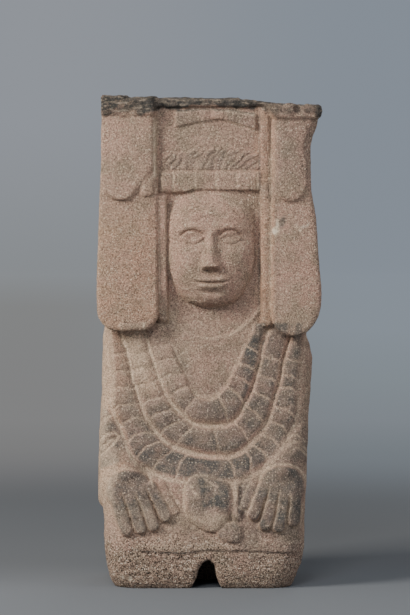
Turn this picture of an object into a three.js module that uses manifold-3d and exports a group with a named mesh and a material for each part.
// Figure of a maize goddess, carved from one block of reddish volcanic stone.
//
// She kneels with her hands on her knees, under a tall house-shaped headdress of
// folded paper with a tassel hanging at each side, and wears three strands of beads.
// Millimetres, +Z up. The figure looks along -Y, and +X is on the viewer's right.
// The origin is on the ground, under the middle of the figure.

import * as THREE from 'three';
import { mergeVertices } from 'three/addons/utils/BufferGeometryUtils.js';
import Module from 'manifold-3d';

const wasm = await Module();
wasm.setup();

// ---------------------------------------------------------------- sizes

const HEIGHT = 600;         // ground to the highest corner of the headdress
const AXIS_X = 2;           // middle line of the face, the necklace and the headdress
const LEAN = 10;            // how much lower the top is on its right side
const GROW = 1.0098;        // the sizes below are drawn a little small: width and height grow by this from the top

// Headdress block behind the tassels, the face and the neck.
const BLOCK = { left: -125, right: 120, front: -58, neckFront: -52, back: 62, bottom: 296, corner: 16 };

// The two tassels. Each has a short upper lobe lying over a long lower lobe.
const TASSEL = { front: -71, back: 36, lobeStep: 5.5, edge: 6 };
const LEFT_TASSEL = {
  inner: -60, outerTop: -130.5, outerBottom: -135.5, bottom: 316, top: 500,
  lobe: { inner: -70, outer: -130, bottom: 473, top: 576 },
};
const RIGHT_TASSEL = {
  inner: 75, outerTop: 127, outerBottom: 135.5, bottom: 310, top: 500,
  lobe: { inner: 75, outer: 123.5, bottom: 473, top: 574 },
};

// Front panel between the tassels, from the brow band up.
const PANEL = { left: -66, right: 63, front: -62 };
const BAND = { bottom: 484, top: 509, front: -67.5, first: -43.5, tile: 25, count: 4, joint: 1.6 };
const FEATHERS = { bottom: 510, top: 536, front: -66, count: 10, lean: 13 };
const BOW = { knotX: 18, top: 586, bottom: 569, wing: 58, drop: 10, front: -67 };
const CORNICE = {
  left: { from: -129.5, to: -66, bottom: 574, top: 601, front: -78 },
  middle: { from: -70, to: 76, bottom: 588, top: 599, front: -68 },
  right: { from: 72, to: 135.3, bottom: 572, top: 592, front: -79 },
  back: 64,
};

// Head, by the usual thirds: brow, nose base and chin at equal steps below the band.
const FACE = { width: 113, hairline: 485, height: 141, front: -76, seat: -44 };
const THIRD = FACE.height / 3;

// Torso, arms and lap.
const TORSO = { back: 57, bottom: 118, top: 322, corner: 24 };
const ARM = { left: -110, right: 94, radius: 25.5, shoulder: 280, elbow: 122, bend: 190, wrist: 150 };
const SKIRT = { left: -127, right: 116, front: -87, back: 86, bottom: 47, top: 152, corner: 30 };
const BASE = { left: -124, right: 113, front: -84, back: 84, top: 60, corner: 30, foot: 22 };
const CLEFT = { width: 34, height: 45, back: -4 };

// Necklace: each strand is a U, with its lowest point at `bottom`.
const STRANDS = [
  { bottom: 218.5, left: 73, right: 67, beads: 12, width: 30, power: 2.5 },
  { bottom: 182, left: 90, right: 86, beads: 17, width: 30, power: 3.2 },
  { bottom: 147, left: 103, right: 96, beads: 21, width: 29, power: 3.5 },
];
const STRAND = { rise: 110, highest: 312, height: 5.5, gap: 1.6, edge: 3.6 };

const HANDS = [
  { palm: [-98, 123], fingers: [[-113, 114, -101, 68], [-99, 119, -84, 70], [-86, 125, -69, 73], [-71, 126, -53.5, 84]] },
  { palm: [89, 126.5], fingers: [[105, 117, 102, 79], [92.5, 122, 84.5, 72], [80.5, 125, 68.5, 74], [68, 128, 54, 86]] },
];
const FINGER = { radius: 8.2, front: -93.5 };
const PENDANT = { x: -2, z: 105, halfWidth: 29, halfHeight: 36, front: -93 };

// ---------------------------------------------------------------- tools

// A closed three.js geometry as a solid that can be joined and cut.
function solid(geometry) {
  const bare = geometry.index ? geometry.toNonIndexed() : geometry.clone();
  bare.deleteAttribute('normal');
  bare.deleteAttribute('uv');
  const merged = mergeVertices(bare, 1e-4);
  return new wasm.Manifold(new wasm.Mesh({
    numProp: 3,
    vertProperties: new Float32Array(merged.attributes.position.array),
    triVerts: new Uint32Array(merged.index.array),
  }));
}

const join = (...solids) => solids.flat(Infinity).reduce((sum, next) => sum.add(next));

// A value that changes smoothly through [position, value] pairs.
const track = (...pairs) => (t) => {
  if (t <= pairs[0][0]) return pairs[0][1];
  for (let i = 1; i < pairs.length; i++) {
    const [t0, v0] = pairs[i - 1], [t1, v1] = pairs[i];
    if (t <= t1) {
      const s = THREE.MathUtils.smoothstep(t, t0, t1);
      return v0 + (v1 - v0) * (0.5 * s + 0.5 * (t - t0) / (t1 - t0));
    }
  }
  return pairs.at(-1)[1];
};

// A block whose level sections are rounded rectangles: section(z) gives each one's sides.
// dent(x, z) pushes the front face back.
function block(levels, section, { across = 7, deep = 5, dent = () => 0 } = {}) {
  const geometry = new THREE.BoxGeometry(across, deep, levels.length - 1, across, deep, levels.length - 1);
  const at = geometry.attributes.position;
  // Grid lines: two in each rounded corner, the rest spread evenly between.
  const spread = (i, n, half, r) => {
    const k = Math.min(i, n - i), inner = n > 5 ? (half - r) * (1 - 2 * (k - 2) / (n - 4)) : half - r;
    return (i < n - i ? -1 : i > n - i ? 1 : 0) * (k < 2 ? half - r * k / 2 : inner);
  };
  for (let i = 0; i < at.count; i++) {
    const z = levels[Math.round(at.getZ(i) + (levels.length - 1) / 2)];
    const { left, right, front, back, corner } = section(z);
    const hx = (right - left) / 2, hy = (back - front) / 2, r = Math.min(corner, hx, hy);
    let x = spread(Math.round(at.getX(i) + across / 2), across, hx, r);
    let y = spread(Math.round(at.getY(i) + deep / 2), deep, hy, r);
    const cx = Math.abs(x) - (hx - r), cy = Math.abs(y) - (hy - r);
    if (cx > 0 && cy > 0) {
      const k = Math.max(cx, cy) / Math.hypot(cx, cy);
      x = Math.sign(x) * (hx - r + cx * k);
      y = Math.sign(y) * (hy - r + cy * k);
    }
    x += (left + right) / 2;
    const push = y < 0 ? dent(x, z) * (-y / hy) : 0;
    at.setXYZ(i, x, y + (front + back) / 2 + push, z);
  }
  return solid(geometry);
}

// A shape drawn in the front view (X, Z), made solid from `front` to `back`, with rounded edges.
function slab(shape, front, back, edge = 0, { steps = 2, curve = 5 } = {}) {
  const geometry = new THREE.ExtrudeGeometry(shape, {
    depth: back - front - 2 * edge, curveSegments: curve, bevelEnabled: edge > 0,
    bevelThickness: edge, bevelSize: edge, bevelOffset: -edge, bevelSegments: steps,
  });
  return geometry.rotateX(Math.PI / 2).translate(0, back - edge, 0);
}

const polygon = (points) => new THREE.Shape(points.map(([x, z]) => new THREE.Vector2(x, z)));

const bar = (x0, x1, z0, z1, front, back, edge = 2) =>
  solid(slab(polygon([[x0, z0], [x1, z0], [x1, z1], [x0, z1]]), front, back, edge, { steps: 1 }));

// An ellipsoid at `at` with half-axes `half`.
const ovoid = (at, half, across = 16, up = 10) =>
  solid(new THREE.SphereGeometry(1, across, up).rotateX(Math.PI / 2).scale(...half).translate(...at));

// A round-ended bar between two points.
function limb(from, to, radius, { sides = 10, cap = 3, flat = 1 } = {}) {
  const a = new THREE.Vector3(...from), b = new THREE.Vector3(...to), along = b.clone().sub(a);
  const geometry = new THREE.CapsuleGeometry(radius, along.length(), cap, sides, 1);
  geometry.scale(1, 1, flat);
  const y = along.clone().normalize();
  const z = new THREE.Vector3(0, 1, 0).addScaledVector(y, -y.y).normalize();
  const turn = new THREE.Matrix4().makeBasis(new THREE.Vector3().crossVectors(y, z), y, z);
  const middle = a.add(b).multiplyScalar(0.5);
  return solid(geometry.applyMatrix4(turn).translate(middle.x, middle.y, middle.z));
}

// ---------------------------------------------------------------- headdress

// The outline of a hanging lobe: straight sides that may spread, and a rounded lower end.
function lobeOutline(inner, outerTop, outerBottom, bottom, top, roundIn, roundOut) {
  const way = Math.sign(outerBottom - inner);
  const shape = new THREE.Shape();
  shape.moveTo(inner, top);
  shape.lineTo(inner, bottom + roundIn);
  shape.quadraticCurveTo(inner, bottom, inner + way * roundIn, bottom);
  shape.lineTo(outerBottom - way * roundOut, bottom);
  shape.quadraticCurveTo(outerBottom, bottom, outerBottom, bottom + roundOut);
  shape.lineTo(outerTop, top);
  return shape;
}

function tassel({ inner, outerTop, outerBottom, bottom, top, lobe }) {
  const low = lobeOutline(inner, outerTop, outerBottom, bottom, top, 22, 28);
  const high = lobeOutline(lobe.inner, lobe.outer, lobe.outer, lobe.bottom, lobe.top, 22, 24);
  return [
    solid(slab(low, TASSEL.front, TASSEL.back, TASSEL.edge)),
    solid(slab(high, TASSEL.front - TASSEL.lobeStep, TASSEL.back + 8, 5)),
  ];
}

function headdress() {
  const levels = [BLOCK.bottom, 350, 420, 484, 540, 586, HEIGHT + 4];
  const core = block(levels, (z) => ({
    left: BLOCK.left, right: BLOCK.right, front: z < 400 ? BLOCK.neckFront : BLOCK.front, back: BLOCK.back - (z < 350 ? 3 : 0), corner: BLOCK.corner,
  }), { across: 5, deep: 5 });

  const panel = bar(PANEL.left, PANEL.right, 482, 592, PANEL.front, -20, 3);

  const band = [bar(PANEL.left + 2, BAND.first - BAND.joint / 2, BAND.bottom, BAND.top, BAND.front + 1, -30, 2)];
  for (let i = 0; i < BAND.count; i++) {
    const x = BAND.first + i * BAND.tile + BAND.joint / 2;
    band.push(bar(x, x + BAND.tile - BAND.joint, BAND.bottom, BAND.top, BAND.front, -30, 2));
  }

  // Short feathers lying over one another across the panel, higher in the middle.
  const feathers = [];
  const pitch = (PANEL.right - PANEL.left - FEATHERS.lean) / FEATHERS.count;
  for (let i = 0; i < FEATHERS.count; i++) {
    const x = PANEL.left + 2 + i * pitch, w = pitch - 2.4;
    const crown = FEATHERS.top - 7 * ((i + 0.5) / FEATHERS.count * 2 - 1) ** 2;
    const lean = FEATHERS.lean;
    feathers.push(solid(slab(polygon([
      [x, FEATHERS.bottom + 0.5], [x + w, FEATHERS.bottom + 0.5], [x + w + lean, crown - 4], [x + w + lean - 3, crown], [x + lean * 0.8, crown - 2],
    ]), FEATHERS.front, -30, 1.4, { steps: 1 })));
  }

  // The folded paper bow under the top edge: two flaps that droop away from the knot.
  const flap = (way, reach) => {
    const { knotX: x, top, bottom, drop, front } = BOW;
    return solid(slab(polygon(way > 0
      ? [[x + 1, bottom], [x + reach, bottom - drop], [x + reach, top - 7], [x + 10, top - 1], [x + 1, top - 5]]
      : [[x - reach, bottom - drop], [x - 1, bottom], [x - 1, top - 4], [x - reach / 2, top + 1], [x - reach, top - 5]]),
    front, -30, 2.5, { steps: 1 }));
  };
  const bow = [flap(-1, BOW.wing), flap(1, BOW.wing - 20)];

  const cornice = ['left', 'middle', 'right'].map((name) => {
    const { from, to, bottom, top, front } = CORNICE[name];
    return bar(from, to, bottom, top, front, CORNICE.back, name === 'right' ? 7 : 4);
  });

  // Rolled hair and ribbon ends in the gaps between the face and the tassels.
  const ribbons = [
    limb([LEFT_TASSEL.inner + 2, -52, 470], [LEFT_TASSEL.inner + 2, -52, 326], 6.5, { sides: 8 }),
    limb([RIGHT_TASSEL.inner - 6, -58, 578], [RIGHT_TASSEL.inner - 6, -58, 330], 7, { sides: 8 }),
  ];

  // Plainer back: a pleated paper fan with its tie, in low relief.
  const fan = [];
  for (let i = -2; i <= 2; i++) fan.push(bar(AXIS_X - 6 + i * 15, AXIS_X + 6 + i * 15, 352, 566, 40, BLOCK.back + 6, 3));
  fan.push(bar(AXIS_X - 42, AXIS_X + 42, 452, 474, 40, BLOCK.back + 9, 3));

  return [core, panel, band, feathers, bow, cornice, ribbons, fan, tassel(LEFT_TASSEL), tassel(RIGHT_TASSEL)];
}

// ---------------------------------------------------------------- face and neck

function face() {
  const { width, hairline, height, front, seat } = FACE;
  const middle = hairline - height / 2, brow = hairline - THIRD, noseBase = brow - THIRD;
  // A full oval, a little narrower at the jaw; its top runs in under the brow band.
  const oval = new THREE.SphereGeometry(1, 18, 12).rotateX(Math.PI / 2);
  const at = oval.attributes.position, power = 2.4;
  for (let i = 0; i < at.count; i++) {
    const unit = [at.getX(i), at.getY(i), at.getZ(i)];
    const [u, v, w] = unit.map((c) => c * unit.reduce((sum, d) => sum + Math.abs(d) ** power, 0) ** (-1 / power));
    const jaw = 1 - 0.16 * THREE.MathUtils.smoothstep(-w, 0.1, 1);
    at.setXYZ(i, AXIS_X + u * width / 2 * jaw, seat + v * (seat - front), middle + w * (height / 2 + (w > 0 ? 12 : 0)));
  }
  let head = solid(oval);
  const sides = [-1, 1];
  for (const side of sides) head = head.subtract(ovoid([AXIS_X + side * 25, front - 3.5, brow - 9], [16, 8, 9], 10, 6));
  return [
    head,
    sides.map((side) => [
      ovoid([AXIS_X + side * 25, front + 8, brow - 9], [12.5, 6, 5.5], 8, 6),
      ovoid([AXIS_X + side * 7.5, front + 0.5, noseBase + 5], [5.5, 5.5, 5.5], 6, 4),
    ]),
    limb([AXIS_X, front + 3, brow - 2], [AXIS_X, front - 3, noseBase + 8], 6, { sides: 8, cap: 2 }),
    ovoid([AXIS_X, front - 3, noseBase + 6.5], [7.5, 6.5, 6.5], 8, 5),
    [[3, 3.4], [-3.6, 4]].map(([lift, thick]) => ovoid([AXIS_X, front + 3.5, noseBase - THIRD / 3 + lift], [19, 6, thick], 8, 5)),
    ovoid([AXIS_X, front + 8, hairline - height + 13], [16, 9, 11], 8, 5),
  ];
}

// Front of the chest at height z: it comes forward towards the lap.
const chestFront = track([150, -67], [200, -60], [250, -54], [320, -49]);

// Its sides: the shoulders and arms fill the whole width.
const torsoLeft = track([118, -132], [150, -134], [182, -134.5], [206, -132.5], [230, -129], [309, -127.5]);
const torsoRight = track([118, 115], [150, 117.5], [220, 120], [255, 123], [285, 125], [310, 119]);

function torso() {
  const levels = [TORSO.bottom, 150, 185, 220, 260, 292, TORSO.top];
  const trunk = block(levels, (z) => ({
    left: torsoLeft(z) + 3, right: torsoRight(z) - 2, front: chestFront(z),
    back: TORSO.back + 6 * Math.sin(Math.PI * (z - 118) / 204), corner: TORSO.corner,
  }), { across: 5, deep: 5 });

  // The neckline of the mantle.
  const rim = new THREE.Shape().absarc(AXIS_X, 352, 52, Math.PI * 1.08, Math.PI * 1.92, false);
  rim.absarc(AXIS_X, 352, 44, Math.PI * 1.92, Math.PI * 1.08, true);
  const neckline = solid(slab(rim, chestFront(310) - 3.2, -30, 1, { steps: 1, curve: 8 }));

  // The mantle's point on the back.
  const point = polygon([[-96, 300], [AXIS_X - 6, 178], [AXIS_X + 6, 178], [92, 300]]);
  const mantle = solid(slab(point, 30, TORSO.back + 9.5, 3, { steps: 1 }));
  return [trunk, neckline, mantle];
}

// ---------------------------------------------------------------- necklace

// A strand's centre line, as points one bead apart.
function strandPoints({ bottom, left, right, beads, power }) {
  const line = [];
  const top = ((STRAND.highest - bottom) / STRAND.rise) ** (1 / power);
  for (let i = -40; i <= 40; i++) {
    const u = Math.sign(i) * Math.abs(i / 40) ** 0.75 * top;
    const x = AXIS_X + u * (u < 0 ? left : right), z = bottom + STRAND.rise * Math.abs(u) ** power;
    line.push(new THREE.Vector3(x, chestFront(z), z));
  }
  const curve = new THREE.CatmullRomCurve3(line);
  curve.arcLengthDivisions = 800;
  const length = curve.getLength() / beads;
  return Array.from({ length: beads }, (_, i) => {
    const t = (i + 0.5) / beads;
    return { at: curve.getPointAt(t), along: curve.getTangentAt(t), length };
  });
}

function bead({ at, along, length }, width) {
  const l = (length - STRAND.gap) / 2, w = width / 2;
  const geometry = slab(polygon([[-l, -w], [l, -w], [l, w], [-l, w]]), -STRAND.height, 14, STRAND.edge, { steps: 1 });
  const rise = (chestFront(at.z + 10) - chestFront(at.z - 10)) / 20;
  geometry.rotateY(-Math.atan2(along.z, along.x)).rotateX(-Math.atan(rise)).translate(at.x, at.y, at.z);
  return solid(geometry);
}

const necklace = () => STRANDS.map((strand) => strandPoints(strand).map((place) => bead(place, strand.width)));

// ---------------------------------------------------------------- arms, hands and lap

function arms() {
  const { radius: r, shoulder, elbow, bend, wrist } = ARM;
  return [[ARM.left, 1], [ARM.right, -1]].map(([x, inward]) => {
    // The forearm comes forward to the hand, with a double bracelet above the wrist.
    const forearm = (t) => [x + inward * (14 * t - 3), -34 - 28 * t, bend + (wrist - bend) * t];
    return [
      limb([x, 4, shoulder], [x, 8, elbow], r, { sides: 12, cap: 2 }),
      limb(forearm(0), forearm(1), r - 4.5, { sides: 10, cap: 2 }),
      [0.1, 0.4].map((t) => limb(forearm(t), forearm(t + 0.12), r - 2, { sides: 10, cap: 1 })),
    ];
  });
}

function hands() {
  return HANDS.map(({ palm: [x, z], fingers }, i) => {
    const inward = i ? -1 : 1;
    return [
      ovoid([x, FINGER.front + 20, z - 1], [28, 18, 26], 12, 8),
      fingers.map(([x0, z0, x1, z1]) => limb([x0, FINGER.front + 9, z0], [x1, FINGER.front + 7.4, z1 + 7], FINGER.radius, { sides: 8, cap: 2 })),
      limb([x + inward * 37, FINGER.front + 14, z + 7], [x + inward * 50, FINGER.front + 13, z - 25], 6, { sides: 8, cap: 2 }),
    ];
  });
}

// The knees push the skirt forward on each side of the hanging sash.
const valley = (x) => 7 * Math.exp(-(((x - PENDANT.x - 1) / 20) ** 2));

function lap() {
  const skirt = block([SKIRT.bottom, 58, 80, 104, 124, 138, 147, SKIRT.top], (z) => {
    const over = Math.max(0, (z - 112) / (SKIRT.top - 112)) ** 2.4;
    const waist = z > 100 ? THREE.MathUtils.smoothstep(z, 100, 118) : 0;
    return {
      left: SKIRT.left + 3 * waist + 8 * over, right: SKIRT.right - 8 * over,
      front: SKIRT.front + 26 * over, back: SKIRT.back - 22 * over, corner: SKIRT.corner,
    };
  }, { across: 9, deep: 5, dent: valley });

  const base = block([-6, 0, 7, 18, 34, BASE.top], (z) => {
    const tuck = BASE.foot * (1 - Math.min(1, Math.max(0, z + 6) / 42)) ** 2.2;
    return {
      left: BASE.left + tuck, right: BASE.right - tuck * 1.15, front: BASE.front + tuck * 0.7, back: BASE.back - tuck * 0.6, corner: BASE.corner,
    };
  }, { across: 5, deep: 5 });

  // The soles of the feet, tucked under at the back, with their toes on the ground.
  const soles = [-1, 1].map((way) => [
    ovoid([-4 + way * 48, 76, 42], [30, 17, 44], 12, 7),
    [0, 1, 2, 3, 4].map((i) => limb([-4 + way * (26 + i * 11), 82, 20 - i], [-4 + way * (27 + i * 11), 82, 4], 7 - i * 0.5, { sides: 6, cap: 1 })),
  ]);
  return [skirt, base, soles];
}

// The knot and end of the sash that hangs between the hands.
function sash() {
  const { x, z, halfWidth, halfHeight, front } = PENDANT;
  return [
    ovoid([x, front + 15, z], [halfWidth, 15, halfHeight], 16, 10),
    ovoid([x + 27, front + 13, z - 40], [17, 12, 16], 12, 8),
    bar(x + 34, x + 40, z - 30, z + 30, front + 3, -60, 2.5),
  ];
}

// The gap between the knees, open at the front and under the figure: a pointed arch that
// spreads at the ground and narrows inwards.
function cleft() {
  const { width, height, back } = CLEFT;
  const spread = track([0, 1.3], [6, 1.02], [15, 0.86], [26, 0.66], [34, 0.47], [41, 0.24], [45, 0]);
  const middle = track([0, -7.5], [15, -5.5], [34, -1.5], [45, -3]);
  const arch = (wider, end) => {
    const rungs = [0, 5, 12, 22, 32, 40].map((z) => [z, middle(z), spread(z) * width / 2 + wider]);
    const outline = [[rungs[0][1] - rungs[0][2], -20], [rungs[0][1] + rungs[0][2], -20],
      ...rungs.map(([z, x, half]) => [x + half, z]), [middle(height), height + wider * 0.6],
      ...rungs.reverse().map(([z, x, half]) => [x - half, z])];
    return solid(slab(polygon(outline), -140, end));
  };
  return join(arch(-1.5, back), arch(2, -77), arch(6, -82.5));
}

// ---------------------------------------------------------------- the figure

// What lies outside the block: below the ground, and above the broken, leaning top.
const ground = solid(new THREE.BoxGeometry(500, 500, 100).translate(0, 0, -50));
const above = solid(new THREE.BoxGeometry(500, 500, 60).translate(0, 0, 30).rotateY(Math.atan(LEAN / 240)).translate(-125, 0, HEIGHT));

const figure = join(headdress(), face(), torso(), necklace(), arms(), hands(), lap(), sash())
  .subtract(cleft()).subtract(above)
  .translate([0, 0, -HEIGHT]).scale([GROW, 1, GROW]).translate([0, 0, HEIGHT]).subtract(ground);

const mesh = figure.getMesh();
const positions = new Float32Array(mesh.numVert * 3);
for (let i = 0; i < mesh.numVert; i++) positions.set(mesh.vertProperties.subarray(i * mesh.numProp, i * mesh.numProp + 3), i * 3);
const geometry = new THREE.BufferGeometry()
  .setAttribute('position', new THREE.BufferAttribute(positions, 3))
  .setIndex(new THREE.BufferAttribute(new Uint32Array(mesh.triVerts), 1));

// Stand it over the origin.
geometry.computeBoundingBox();
const centre = geometry.boundingBox.getCenter(new THREE.Vector3());
geometry.translate(-centre.x, -centre.y, -geometry.boundingBox.min.z);
geometry.computeVertexNormals();

const stone = new THREE.MeshStandardMaterial({ name: 'volcanic_stone', color: 0xa08876, roughness: 0.92, metalness: 0 });

const carving = new THREE.Mesh(geometry, stone);
carving.name = 'carved_figure';

const group = new THREE.Group();
group.name = 'maize_goddess_figure';
group.add(carving);

export default group;
